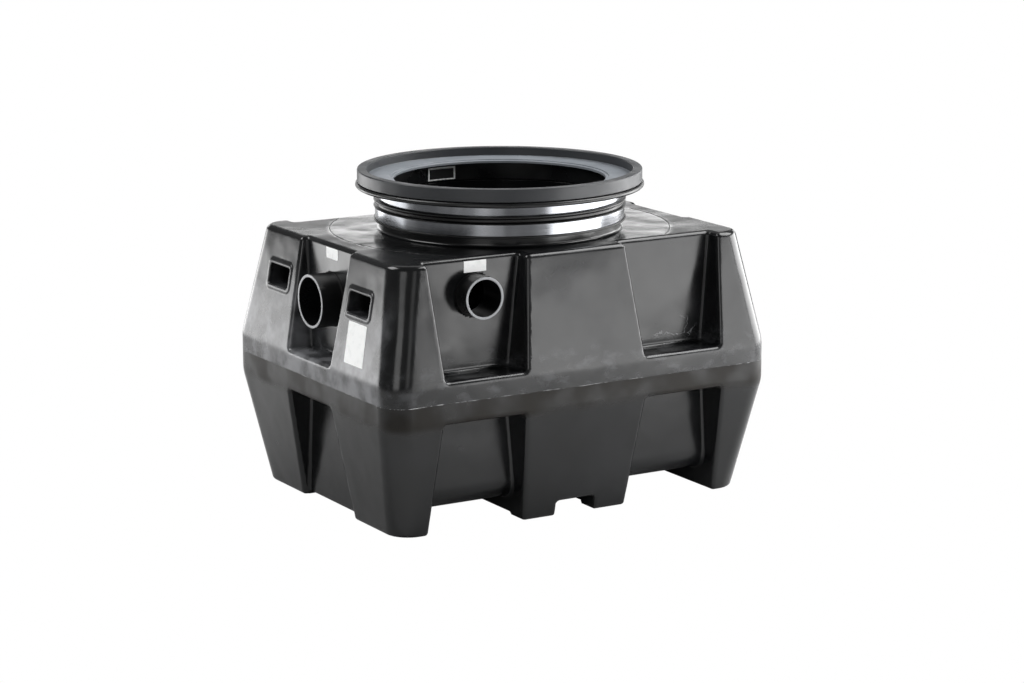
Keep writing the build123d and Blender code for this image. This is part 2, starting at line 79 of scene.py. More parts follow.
# Groove in the deck, an arc on each side of the neck that ends at y = ring_end
ring_radius, ring_end = 368, 266
ring_half_width, ring_floor_half, ring_depth = 1.25, 0.8, 1.2
ring_run_out = 5

# Pipes, vents and the manhole
pipe_radius, pipe_bore, pipe_height = 57.15, 51.15, 451.5
pipe_inner_end, pipe_mouth = 386, 462.6
vent_radius, vent_bore, vent_height, vent_x = 44.45, 38.95, 490, 228
vent_inner_end, vent_mouth = 255, 328
saw_cut = 0.7
manhole_radius = 251

# Holes in the tank's wall: each is cut from inside the tank outwards, and a pipe's
# hole is tucked in under the pipe, so that no gap shows round it
manhole_cut, pipe_cut, vent_cut = 500, 380, 240
hole_tuck = 1

# Edge roundings of the moulding
deck_edge, pleat_edge, crease, floor_edge, soft_belt = 10, 9, 7, 6, 2.4

# Where the CAD divides the tank into nodes
middle_foot_end, end_foot_start = 165, 325
floor_split, deck_split = 96, 546

# Collar: radii and heights of the neck, the sleeve with its two grooves for the bands,
# the riser, the gasket and the cover frame; fit is the play between neighbours
neck_foot, neck_outer, neck_top = 270, 261, 632
sleeve_outer, sleeve_lip, sleeve_bottom, sleeve_top = 273, 264.5, 590, 656
lower_seat, lower_groove = 268.3, (594.5, 619.1)
upper_seat, upper_groove = 262.3, (636.2, 653.8)
band_thickness, fit = 1.2, 0.3
riser_bore, riser_outer, riser_flange = 246, 255, 312
riser_bottom, flange_bottom, riser_top = 635, 661, 671
gasket_bore, gasket_outer, gasket_top = 262, 300, 672.5
cover_bore, cover_outer, cover_top = 229, 308, 700
ledge_bore, ledge_radius, ledge_height, lip_height = 236, 288, 681, 678.5

# Parting flash
flash_inset = 0.35
flash_height, flash_depth = 1.1, 0.6
flash_drift = 2
flash_seed = 4.0

# Marks: middle and half size of each
belt_nick = ((-370, -351, 384), (9, 9, 2))
recess_nick = ((248, -283, 442), (3.5, 6, 3.5))
scuff_patch = ((268, -283, 364), (62, 8, 34))
pale_flash = ((-440, -330, 288), (110, 110, 40))

# Camera of the photograph, found by fitting the tank's corners: degrees and metres
camera_turn, camera_rise, camera_roll = -30.654, 12.204, -0.110
camera_place = (-3.2258, -5.4939, 1.6917)
camera_lens = 104.82
light_aim = (0, 0, 0.4)


# The tank's skin: a distance field, and the surface on which it is zero

def rounded_both(a, b, radius):
    """Distance to what lies inside both a and b, its shared edge rounded."""
    bent = np.hypot(np.maximum(a + radius, 0), np.maximum(b + radius, 0))
    return np.minimum(np.maximum(a, b), -radius) + bent


def eased_both(a, b, width):
    """Distance to what lies inside both, eased where they meet at a shallow angle."""
    near = np.maximum(width - np.abs(a - b), 0) / width
    return np.maximum(a, b) + near * near * width / 4


def eased_either(a, b, width):
    """Distance to what lies inside a or b, eased where they meet."""
    near = np.maximum(width - np.abs(a - b), 0) / width
    return np.minimum(a, b) - near * near * width / 4


def past_line(across, height, low, high, low_height, high_height):
    """Distance past a leaning plane, given where it stands at two heights."""
    lean, rise = high - low, high_height - low_height
    return ((across - low) * rise - (height - low_height) * lean) / math.hypot(lean, rise)


def side_field(across, height, half_sizes):
    """Distance past one side of the tank: foot, belt and shoulder planes."""
    foot, belt, deck = half_sizes
    below = past_line(across, height, foot, belt, 0, belt_bottom)
    above = past_line(across, height, belt, deck, belt_top, deck_top)
    return eased_both(eased_both(below, across - belt, soft_belt), above, soft_belt)


def cutter(*planes):
    """Distance outside a recess bounded by several planes, with rounded creases."""
    field = planes[0]
    for plane in planes[1:]:
        field = rounded_both(field, plane, crease)
    return field


def with_recesses(skin, along, across, z):
    """Skin with the recesses of the long sides and of the ends cut into it."""
    upper = (belt_top, deck_top)
    lower = (0, belt_bottom)
    core = rounded_both(across - long_recess_face, channel_height - z, underside_bend)
    recesses = (
        cutter(-past_line(along, z, *pillar_upper, *upper), past_line(along, z, *corner_upper, *upper),
               long_recess_face - across, belt_top - z),
        cutter(-past_line(along, z, *foot_lower, *lower), past_line(along, z, *leg_lower, *lower),
               z - belt_bottom, -core),
        cutter(past_line(across, z, *end_upper, *upper), end_recess_face - along, belt_top - z),
        cutter(past_line(across, z, *end_lower, *lower), end_recess_face - along, z - belt_bottom))
    for recess in recesses:
        skin = rounded_both(skin, -recess, pleat_edge)
    return skin


def with_underside(skin, along, across, z):
    """Skin raised between the pads of the feet and notched under the middle foot."""
    middle_rise = np.maximum(along - foot_lower[1], across - middle_pad_start)
    end_rise = np.maximum(leg_lower[0] - along, across - end_lower[0])
    raised = np.maximum(np.minimum(middle_rise, end_rise), z - pad_step)
    notch = rounded_both(along - notch_half, z - notch_height, notch_bend)
    return rounded_both(rounded_both(skin, -raised, pad_edge), -notch, notch_edge)


def with_pockets(skin, end_side, along, across, z):
    """Skin with the lifting pockets of the ends and their raised surrounds."""
    beside = np.abs(across - pocket_middle[0]) - pocket_half[0]
    above = np.abs(z - pocket_middle[1]) - pocket_half[1]
    surround = rounded_both(beside - surround_width, above - surround_width, surround_corner)
    surround = rounded_both(surround, end_side - surround_proud, surround_edge)
    surround = np.maximum(surround, pocket_floor + surround_width - along)
    skin = eased_either(skin, surround, surround_foot)
    pocket = rounded_both(rounded_both(beside, above, pocket_corner), pocket_floor - along, pocket_crease)
    return rounded_both(skin, -pocket, pocket_edge)


def outer_field(x, y, z):
    """Distance outside the outer skin of the tank, negative within."""
    along, across = np.abs(x), np.abs(y)
    end_side = side_field(along, z, (foot_half[0], belt_half[0], deck_half[0]))
    long_side = side_field(across, z, (foot_half[1], belt_half[1], deck_half[1]))
    skin = rounded_both(end_side, long_side, corner_radius)
    skin = with_recesses(skin, along, across, z)
    skin = rounded_both(skin, z - deck_top, deck_edge)
    skin = rounded_both(skin, -z, floor_edge)
    skin = with_underside(skin, along, across, z)
    return with_pockets(skin, end_side, along, across, z)


def shell_field(x, y, z):
    """Distance outside the tank's wall, which is open at the manhole and the pipes."""
    shell = np.abs(outer_field(x, y, z) + wall / 2) - wall / 2
    manhole = np.maximum(np.hypot(x, y) - manhole_radius, manhole_cut - z)
    pipe_hole = np.maximum(np.hypot(y, z - pipe_height) - pipe_radius + hole_tuck, pipe_cut - np.abs(x))
    vent_side = np.where(y < 0, -x, x) - vent_x
    vent_hole = np.maximum(np.hypot(vent_side, z - vent_height) - vent_radius + hole_tuck,
                           vent_cut - np.abs(y))
    return np.maximum.reduce([shell, -manhole, -pipe_hole, -vent_hole])


def ruler(*stops):
    """Grid lines between stops given as (place, spacing up to the next stop)."""
    lines = []
    for (low, spacing), (high, _) in zip(stops, stops[1:]):
        count = max(1, round((high - low) / spacing))
        lines.extend(np.linspace(low, high, count, endpoint=False))
    return np.array(lines + [stops[-1][0]])


def cells_beside(edges, side_a, side_b, step_a, step_b):
    """Index of the cell that lies some steps back from each grid edge."""
    cell = edges.copy()
    cell[:, side_a] -= step_a
    cell[:, side_b] -= step_b
    return tuple(cell.T)


def net_of(field, xs, ys, zs):
    """Points and quads of the surface where a field on a grid changes sign.

    Each cell that the surface crosses gets one point, the mean of the crossings
    on its edges, and each crossed edge gets a quad between its four cells."""
    axes = (xs, ys, zs)
    cells = tuple(len(axis) - 1 for axis in axes)
    count = np.zeros(cells)
    total = np.zeros(cells + (3,))
    crossings = []
    for axis in range(3):
        near = [slice(None)] * 3
        far = [slice(None)] * 3
        near[axis], far[axis] = slice(None, -1), slice(1, None)
        low, high = field[tuple(near)], field[tuple(far)]
        crosses = (low < 0) != (high < 0)
        edges = np.argwhere(crosses)
        share = low[crosses] / (low[crosses] - high[crosses])
        point = np.stack([axes[i][edges[:, i]] for i in range(3)], axis=1)
        point[:, axis] += share * (axes[axis][edges[:, axis] + 1] - axes[axis][edges[:, axis]])
        side_a, side_b = [i for i in range(3) if i != axis]
        crossings.append((axis, side_a, side_b, edges, low[crosses] < 0))
        for step_a, step_b in ((0, 0), (0, 1), (1, 0), (1, 1)):
            cell = cells_beside(edges, side_a, side_b, step_a, step_b)
            np.add.at(count, cell, 1)
            np.add.at(total, cell, point)
    used = count > 0
    index = np.full(cells, -1)
    index[used] = np.arange(used.sum())
    points = total[used] / count[used][:, None]
    quads = []
    for axis, side_a, side_b, edges, leaving in crossings:
        ring = np.stack([index[cells_beside(edges, side_a, side_b, step_a, step_b)]
                         for step_a, step_b in ((1, 1), (0, 1), (0, 0), (1, 0))], axis=1)
        turned_over = leaving == (axis == 1)
        ring[turned_over] = ring[turned_over][:, ::-1]
        quads.append(ring)
    return points, np.concatenate(quads)


def slope_of(field, points, step):
    """Gradient of a field at points."""
    slopes = []
    for axis in range(3):
        shift = np.zeros(3)
        shift[axis] = step
        slopes.append((field(*(points + shift).T) - field(*(points - shift).T)) / (2 * step))
    return np.stack(slopes, axis=1)


def tank_skin():
    """Points, quads and normals of the whole moulded tank."""
    # Grid lines lie closer where the skin has small roundings
    xs = ruler((-473, 5), (473, 5))
    ys = ruler((-364, 5), (-244, 3.4), (-124, 5), (124, 3.4), (244, 5), (364, 5))
    zs = ruler((-3, 3.2), (14, 5), (230, 3.6), (252, 5), (322, 3.6), (346, 5), (440, 3.4), (509, 5),
               (553, 3), (573, 3))
    points, quads = net_of(shell_field(*np.meshgrid(xs, ys, zs, indexing="ij")), xs, ys, zs)
    # Newton's steps bring the points onto the surface; both limits tame them at creases
    rounds, longest_move, least_slope = 3, 1.5, 0.2
    field_step, normal_step = 0.5, 0.6
    for _ in range(rounds):
        slope = slope_of(shell_field, points, field_step)
        squared = np.maximum((slope ** 2).sum(axis=1), least_slope)
        move = shell_field(*points.T)[:, None] * slope / squared[:, None]
        points -= np.clip(move, -longest_move, longest_move)
    normals = slope_of(shell_field, points, normal_step)
    normals /= np.maximum(np.linalg.norm(normals, axis=1), 1e-6)[:, None]
    return points, quads, normals


def ring_rows(start):
    """Points of the groove's four edges on each side of the neck, and the index pairs
    that join them when the first point has the index start."""
    steps = 120
    places, pairs = [], []
    for side in (-1, 1):
        for off in (-ring_half_width, -ring_floor_half, ring_floor_half, ring_half_width):
            radius = ring_radius + off
            first = start + len(places)
            turns = np.linspace(-1, 1, steps + 1) * math.asin(ring_end / radius)
            places += [Vector((side * radius * math.cos(turn), radius * math.sin(turn))) for turn in turns]
            pairs += [(first + step, first + step + 1) for step in range(steps)]
    return places, pairs


def groove_depth(x, y):
    """Depth of the groove at points of the deck."""
    off = np.abs(np.hypot(x, y) - ring_radius)
    slant = np.clip((ring_half_width - off) / (ring_half_width - ring_floor_half), 0, 1)
    return ring_depth * slant * np.clip((ring_end - np.abs(y)) / ring_run_out, 0, 1)


def with_groove(points, quads, normals):
    """Points, faces and normals of the deck with the groove cut into its flat top.

    The quads near the groove give way to triangles that follow its edges."""
    flatness, reach, run_on = 0.02, 9, 4
    middle = points[quads].mean(axis=1)
    on_top = (points[quads][:, :, 2] > deck_top - flatness).all(axis=1)
    beside = np.abs(np.hypot(middle[:, 0], middle[:, 1]) - ring_radius) < reach
    near = on_top & beside & (np.abs(middle[:, 1]) < ring_end + run_on)
    own, cells = np.unique(quads[near], return_inverse=True)
    corners = [Vector(point[:2]) for point in points[own]]
    places, pairs = ring_rows(len(corners))
    inside_only, tolerance = 1, 1e-4
    spots, _, triangles, sources = delaunay_2d_cdt(
        corners + places, pairs, cells.reshape(-1, 4).tolist(), inside_only, tolerance)[:4]
    index, added = [], []
    for place, source in zip(spots, sources):
        kept = [i for i in source if i < len(own)]
        if kept:
            index.append(int(own[kept[0]]))
        else:
            index.append(len(points) + len(added))
            added.append(place)
    x, y = np.array(added).T
    points = np.concatenate([points, np.stack([x, y, deck_top - groove_depth(x, y)], axis=1)])
    triangles = np.array([[index[i] for i in triangle] for triangle in triangles])
    first, second, third = (points[triangles[:, corner]] for corner in range(3))
    facing = np.cross(second - first, third - first)
    bent = np.zeros(points.shape)
    for corner in range(3):
        np.add.at(bent, triangles[:, corner], facing)
    bent = bent[len(normals):]
    bent /= np.maximum(np.linalg.norm(bent, axis=1), 1e-9)[:, None]
    return points, quads[~near].tolist() + triangles.tolist(), np.concatenate([normals, bent])


def node_of(middle):
    """Name of the CAD node that holds each quad, from the middle of the quad."""
    x, y, z = middle.T
    names = np.full(len(middle), "outlet_foot", dtype=object)
    for name, limit in (("outlet_floor_panel", end_foot_start), ("middle_foot", middle_foot_end),
                        ("inlet_floor_panel", -middle_foot_end), ("inlet_foot", -end_foot_start)):
        names[x < limit] = name
    beside = np.abs(y) > np.abs(x) - (belt_half[0] - belt_half[1])
    side = np.where(beside, np.where(y < 0, "front", "back"), np.where(x < 0, "inlet", "outlet"))
    for level, low, high in (("lower", floor_split, parting_height), ("upper", parting_height, deck_split)):
        for name in ("front", "back", "inlet", "outlet"):
            names[(z > low) & (z <= high) & (side == name)] = f"{level}_{name}_wall"
    names[z > deck_split] = "deck"
    return names


# Making meshes

def linked(name, data):
    """Object of a mesh, a light or a camera, linked to the scene."""
    thing = bpy.data.objects.new(name, data)
    bpy.context.scene.collection.objects.link(thing)
    return thing


def mesh_object(name, points, faces, material, normals=None):
    """Mesh object from points in millimetres: smooth with one normal a point, else flat."""
    mesh = bpy.data.meshes.new(name)
    mesh.from_pydata((np.asarray(points) * mm).tolist(), [], [list(map(int, face)) for face in faces])
    if normals is not None:
        mesh.shade_smooth()
        mesh.normals_split_custom_set_from_vertices(np.asarray(normals).tolist())
    mesh.materials.append(material)
    return linked(name, mesh)


def settle(piece, slot, *replaced):
    """Hang a finished piece on the CAD body and hide the CAD parts it stands for; the slot is not used."""
    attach(piece, "root")
    if replaced:
        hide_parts(*replaced)


def rounded_outline(corners, steps=5):
    """Closed outline through (radius, height, rounding) corners, with a normal at each point."""
    outline = []
    corners = [np.array(corner, float) for corner in corners]
    for before, corner, after in zip(corners[-1:] + corners[:-1], corners, corners[1:] + corners[:1]):
        into = (corner - before)[:2] / np.linalg.norm((corner - before)[:2])
        out = (after - corner)[:2] / np.linalg.norm((after - corner)[:2])
        turn = math.atan2(into[0] * out[1] - into[1] * out[0], into @ out)
        reach = abs(corner[2] * math.tan(turn / 2))
        start = corner[:2] - into * reach
        side = np.array([-into[1], into[0]]) * math.copysign(1, turn)
        centre = start + side * corner[2]
        for step in range(steps + 1):
            angle = turn * step / steps
            rotation = np.array([[math.cos(angle), -math.sin(angle)], [math.sin(angle), math.cos(angle)]])
            turned = rotation @ -side
            outline.append((*(centre + turned * corner[2]), *(turned * math.copysign(1, turn))))
    return np.array(outline)


def turned_piece(name, corners, material, segments=256, place=None):
    """Piece turned on a lathe about the upright axis, then moved by place.

    The corners run anticlockwise in (radius, height)."""
    outline = rounded_outline(corners)
    angles = np.linspace(0, 2 * math.pi, segments, endpoint=False)
    cosines, sines = np.cos(angles)[:, None], np.sin(angles)[:, None]
    radius, height, out, up = outline.T
    points, normals = (
        np.stack(np.broadcast_arrays(cosines * level, sines * level, upright), axis=2).reshape(-1, 3)
        for level, upright in ((radius, height), (out, up)))
    count = len(outline)
    faces = []
    for ring in range(segments):
        here, there = ring * count, (ring + 1) % segments * count
        for step in range(count):
            after = (step + 1) % count
            faces.append((here + step, there + step, there + after, here + after))
    if place is not None:
        turn = np.array(place.to_3x3())
        points = points @ turn.T + np.array(place.translation)
        normals = normals @ turn.T
    return mesh_object(name, points, faces, material, normals)


def lying(place, direction):
    """Matrix that lays an upright turned piece along a level direction."""
    return Matrix.Translation(place) @ Vector(direction).to_track_quat("Z", "Y").to_matrix().to_4x4()


# Shader nodes

def linear(hex_colour):
    """Linear colour of an sRGB hex value."""
    levels = [int(hex_colour[i:i + 2], 16) / 255 for i in (1, 3, 5)]
    return [v / 12.92 if v <= 0.04045 else ((v + 0.055) / 1.055) ** 2.4 for v in levels] + [1.0]


def feed(tree, node, links):
    """Give the inputs of a node their values, each an output to link or a plain value."""
    for name, value in links:
        socket = node.inputs[name]
        if isinstance(value, bpy.types.NodeSocket):
            tree.links.new(value, socket)
        else:
            socket.default_value = value


def add(tree, kind, links=(), **settings):
    """Add a node with its settings, and feed its inputs from (input, value) pairs."""
    node = tree.nodes.new(kind)
    for key, value in settings.items():
        setattr(node, key, value)
    feed(tree, node, links)
    return node


def object_place(tree):
    """Output of the object coordinates."""
    return add(tree, "ShaderNodeTexCoord").outputs["Object"]


def axes_of(tree, place):
    """Outputs X, Y and Z of a place."""
    return add(tree, "ShaderNodeSeparateXYZ", [("Vector", place)]).outputs


def new_material(name):
    """Material with its tree, its principled shader and its object coordinates."""
    material = bpy.data.materials.new(name)
    material.use_nodes = True
    tree = material.node_tree
    return material, tree, tree.nodes["Principled BSDF"], object_place(tree)


def mapped(tree, value, low, high, to_low=0.0, to_high=1.0):
    """Output that runs smoothly from to_low to to_high while value runs from low to high."""
    return add(tree, "ShaderNodeMapRange", [
        ("Value", value), ("From Min", low), ("From Max", high), ("To Min", to_low), ("To Max", to_high),
    ], interpolation_type="SMOOTHSTEP").outputs["Result"]


def fade(tree, value, low, high, to_low=0.0, to_high=1.0):
    """Mapped output of a coordinate whose limits are in millimetres."""
    return mapped(tree, value, low * mm, high * mm, to_low, to_high)


def varied(tree, noise, low, high):
    """Output that wanders from low to high over the usual range of a noise."""
    return mapped(tree, noise, 0.3, 0.7, low, high)


def math_of(tree, operation, *values):
    """Output of a math node."""
    return add(tree, "ShaderNodeMath", list(enumerate(values)), operation=operation).outputs[0]


def product(tree, share, *others):
    """Output of several shares multiplied together."""
    for other in others:
        share = math_of(tree, "MULTIPLY", share, other)
    return share


def vector_of(tree, operation, *values):
    """Output of a vector math node."""
    outputs = add(tree, "ShaderNodeVectorMath", list(enumerate(values)), operation=operation).outputs
    return outputs["Value" if operation == "LENGTH" else "Vector"]


def cloud(tree, place, size, detail=4.0, roughness=0.55, stretch=None):
    """Noise output whose features are about the given size in millimetres."""
    if stretch:
        place = add(tree, "ShaderNodeMapping", [("Vector", place), ("Scale", stretch)]).outputs["Vector"]
    return add(tree, "ShaderNodeTexNoise", [
        ("Vector", place), ("Scale", 1 / (size * mm)), ("Detail", detail), ("Roughness", roughness),
    ]).outputs["Fac"]


def tinted(tree, below, share, above):
    """Colour between two colours; each is a hex value or an output."""
    ends = [linear(end) if isinstance(end, str) else end for end in (below, above)]
    node = add(tree, "ShaderNodeMix", [("Factor", share), (6, ends[0]), (7, ends[1])], data_type="RGBA")
    return node.outputs[2]


def bump_of(tree, height, strength, depth, *under):
    """Normal output of a bump with a depth in millimetres, laid over another normal if given."""
    return add(tree, "ShaderNodeBump", [
        ("Height", height), ("Strength", strength), ("Distance", depth * mm),
        *(("Normal", normal) for normal in under),
    ]).outputs["Normal"]


def spot(tree, place, centre, half_size):
    """Share that is one within an ellipsoid given in millimetres and fades out at its rim."""
    moved = vector_of(tree, "SUBTRACT", place, [c * mm for c in centre])
    scaled = vector_of(tree, "DIVIDE", moved, [h * mm for h in half_size])
    return mapped(tree, vector_of(tree, "LENGTH", scaled), 0.6, 1.0, 1.0, 0.0)


def radius_of(tree, place):
    """Output of the distance from the upright axis."""
    return vector_of(tree, "LENGTH", vector_of(tree, "MULTIPLY", place, (1, 1, 0)))


# Materials

def belt_marks(tree, place, axes):
    """Shares of three marks round the belt: rubbed along it, chalky where the inlet end
    was handled, and dirty below the parting line."""
    height = axes["Z"]
    above = fade(tree, height, parting_height - 0.8, parting_height + 1.2)
    rubbed = product(
        tree, mapped(tree, cloud(tree, place, 40, 3.0, 0.5, (1.0, 1.0, 1.6)), 0.46, 0.74),
        product(tree, fade(tree, height, 262, 296), fade(tree, height, 400, 330)), above)
    handled = product(
        tree, fade(tree, axes["X"], -405, -428), fade(tree, height, 540, 330), fade(tree, height, 150, 290),
        mapped(tree, cloud(tree, place, 62, 3.0, 0.5), 0.34, 0.64, 0.15, 1.0), above,
        fade(tree, math_of(tree, "ABSOLUTE", axes["Y"]), 302, 326, 1.0, 0.0))
    dirt = product(
        tree, fade(tree, height, 225, 250), fade(tree, height, 292, 287),
        mapped(tree, cloud(tree, place, 90, 2.0, 0.5), 0.30, 0.66, 0.3, 1.0),
        math_of(tree, "SUBTRACT", 1.0, above))
    return rubbed, handled, dirt


def ring_marks(tree, place, axes):
    """Shares of the groove in the deck, painted near black for the shade inside it and the dirt it
    gathers, and of the deck outside its circle, which is duller."""
    radius = radius_of(tree, place)
    on_deck = fade(tree, axes["Z"], deck_top - 2, deck_top - 1)
    off_ring = math_of(tree, "ABSOLUTE", math_of(tree, "SUBTRACT", radius, ring_radius * mm))
    # Painted shade: the groove is tinted near black for the shade that falls in it, with the dirt it
    # gathers
    groove = product(
        tree, fade(tree, off_ring, 0.3 * ring_half_width, ring_half_width, 1.0, 0.0), on_deck,
        fade(tree, math_of(tree, "ABSOLUTE", axes["Y"]), ring_end, ring_end - 14))
    outside = product(tree, fade(tree, radius, ring_radius - 1, ring_radius + 12), on_deck)
    return groove, outside


def rotomoulded_polyethylene():
    """Rotationally moulded black polyethylene: semi-gloss and faintly wavy, with a chalky
    bloom in clouds, the marks of use and painted shade in the deck groove."""
    material, tree, shader, place = new_material("rotomoulded_polyethylene")
    axes = axes_of(tree, place)
    bloom = mapped(tree, cloud(tree, place, 130, 3.0, 0.5), 0.40, 0.80)
    rubbed, handled, dirt = belt_marks(tree, place, axes)
    groove, outside = ring_marks(tree, place, axes)
    nicks = math_of(tree, "MAXIMUM", spot(tree, place, *belt_nick), spot(tree, place, *recess_nick))
    # The scuff is a jagged line, drawn where a noise passes through its middle value
    trail = math_of(tree, "ABSOLUTE", math_of(tree, "SUBTRACT", cloud(tree, place, 90, 5.0, 0.62), 0.5))
    scuff = product(tree, mapped(tree, trail, 0.003, 0.008, 1.0, 0.0), spot(tree, place, *scuff_patch))
    colour = "#0d0e0f"
    # The groove's near-black tint is painted shade, together with the dirt gathered in it
    for share, tint in ((bloom, "#191a1c"), (rubbed, "#37383a"), (handled, "#737477"), (dirt, "#1d1a16"),
                        (nicks, "#040404"), (groove, "#050505"), (scuff, "#7c7d7f")):
        colour = tinted(tree, colour, share, tint)
    gloss = varied(tree, cloud(tree, place, 80, 3.0, 0.5), 0.15, 0.22)
    for share, dulled in ((bloom, 0.08), (dirt, 0.25), (outside, 0.10)):
        gloss = math_of(tree, "ADD", gloss, product(tree, share, dulled))
    dull = math_of(tree, "MAXIMUM", dirt, product(tree, outside, 0.8))
    swell = bump_of(tree, cloud(tree, place, 110, 1.5), 1.0, 3.0)
    grain = bump_of(tree, cloud(tree, place, 2.4, 2.0), 0.3, 0.2, swell)
    feed(tree, shader, [
        ("IOR", 1.5), ("Specular IOR Level", mapped(tree, dull, 0.0, 1.0, 0.5, 0.22)),
        ("Base Color", colour), ("Roughness", gloss), ("Normal", grain)])
    return material


def moulded_black(name, colour, roughness, grain_size):
    """Moulded black plastic or rubber with a fine even grain of a given size in millimetres."""
    material, tree, shader, place = new_material(name)
    gloss = varied(tree, cloud(tree, place, 70, 5.0), roughness - 0.06, roughness + 0.08)
    grain = bump_of(tree, cloud(tree, place, grain_size, 3.0), 0.12, 0.2)
    feed(tree, shader, [("Base Color", linear(colour)), ("Roughness", gloss), ("Normal", grain)])
    return material


def repaint(material, below, share, above):
    """Give a moulded black a second colour where the share is one."""
    tree = material.node_tree
    feed(tree, tree.nodes["Principled BSDF"], [("Base Color", tinted(tree, below, share, above))])


def extruded_pipe():
    """Extruded black pipe with pale saw-cut faces at its open ends."""
    black = "#0b0b0c"
    material = moulded_black("extruded_pipe_saw_cut", black, 0.32, 1.2)
    tree = material.node_tree
    place = object_place(tree)
    axes = axes_of(tree, place)
    cut_x, cut_y = (
        math_of(tree, "GREATER_THAN", math_of(tree, "ABSOLUTE", axes[axis]), (mouth - saw_cut) * mm)
        for axis, mouth in (("X", pipe_mouth), ("Y", vent_mouth)))
    sawn = tinted(tree, "#707275", cloud(tree, place, 3, 4.0), "#a2a4a7")
    repaint(material, black, math_of(tree, "MAXIMUM", cut_x, cut_y), sawn)
    return material


def frame_with_painted_ledge():
    """Compression-moulded frame: matt dark grey, painted pale on the ledge where a cover rests as a painted
    highlight for the light that ledge catches.
    """
    grey = "#2e3033"
    material = moulded_black("compression_moulded_frame", grey, 0.42, 1.5)
    tree = material.node_tree
    place = object_place(tree)
    # Painted highlight: the upward-facing ledge is painted pale grey-blue for the light it catches and
    # mirrors
    ledge = product(
        tree, fade(tree, radius_of(tree, place), ledge_radius + 0.5, ledge_radius - 0.5),
        fade(tree, axes_of(tree, place)["Z"], ledge_height + 1.2, ledge_height + 0.2))
    painted_ledge_highlight = tinted(tree, "#6c7177", cloud(tree, place, 60, 3.0), "#8c9197")
    repaint(material, grey, ledge, painted_ledge_highlight)
    return material


def stainless_strip():
    """Rolled stainless strip of the band clamps: bright, streaked where it was bent round."""
    material, tree, shader, place = new_material("rolled_stainless_strip")
    waves = cloud(tree, place, 60, 1.0, 0.4, (1.0, 1.0, 0.05))
    streaks = cloud(tree, place, 70, 2.0, 0.5, (1.0, 1.0, 0.1))
    fine = cloud(tree, place, 500, 3.0, 0.6, (1.0, 1.0, 700.0))
    feed(tree, shader, [
        ("Metallic", 1.0), ("Roughness", varied(tree, fine, 0.16, 0.26)),
        ("Base Color", tinted(tree, "#7f8185", mapped(tree, streaks, 0.34, 0.62), "#a6a8ac")),
        ("Normal", bump_of(tree, waves, 1.0, 0.9))])
    return material


def label_paper():
    """Coated paper of the stickers: plain white, faintly soiled."""
    material, tree, shader, place = new_material("coated_label_paper")
    soil = mapped(tree, cloud(tree, place, 16, 4.0), 0.30, 0.55)
    feed(tree, shader, [("Base Color", tinted(tree, "#e8eae9", soil, "#f4f5f4")), ("Roughness", 0.42)])
    return material


def torn_flash():
    """Thin flash squeezed out along the parting line, whitened where it was scraped off."""
    material, tree, shader, place = new_material("scraped_parting_flash")
    scraped = mapped(tree, cloud(tree, place, 22, 5.0, 0.65), 0.47, 0.62)
    pale = tinted(tree, "#7d7e7f", spot(tree, place, *pale_flash), "#c4c5c6")
    feed(tree, shader, [("Base Color", tinted(tree, "#191a1b", scraped, pale)), ("Roughness", 0.5)])
    return material


tank_plastic = rotomoulded_polyethylene()
riser_plastic = moulded_black("injection_moulded_riser", "#0f1011", 0.30, 1.2)
frame_plastic = frame_with_painted_ledge()
sleeve_rubber = moulded_black("moulded_coupling_rubber", "#0c0c0d", 0.36, 1.0)
pipe_plastic = extruded_pipe()
stainless = stainless_strip()
paper = label_paper()
label_print = moulded_black("printed_label_field", "#1a1b1c", 0.4, 1.0)
flash = torn_flash()


# Pieces

def build_tank():
    """The moulded tank, divided as the CAD nodes are."""
    points, quads, normals = tank_skin()
    names = node_of(points[quads].mean(axis=1))
    for name in sorted(set(names)):
        own = quads[names == name]
        used, renumbered = np.unique(own, return_inverse=True)
        part = points[used], renumbered.reshape(own.shape), normals[used]
        if name == "deck":
            part = with_groove(*part)
        part_points, part_faces, part_normals = part
        settle(mesh_object(name + "_skin", part_points, part_faces, tank_plastic, part_normals),
               "tank_polyethylene", name)


def strip(inner, outer, low, high, inner_edge, outer_edge):
    """Profile of a plain ring."""
    return [(inner, low, inner_edge), (outer, low, outer_edge), (outer, high, outer_edge),
            (inner, high, inner_edge)]


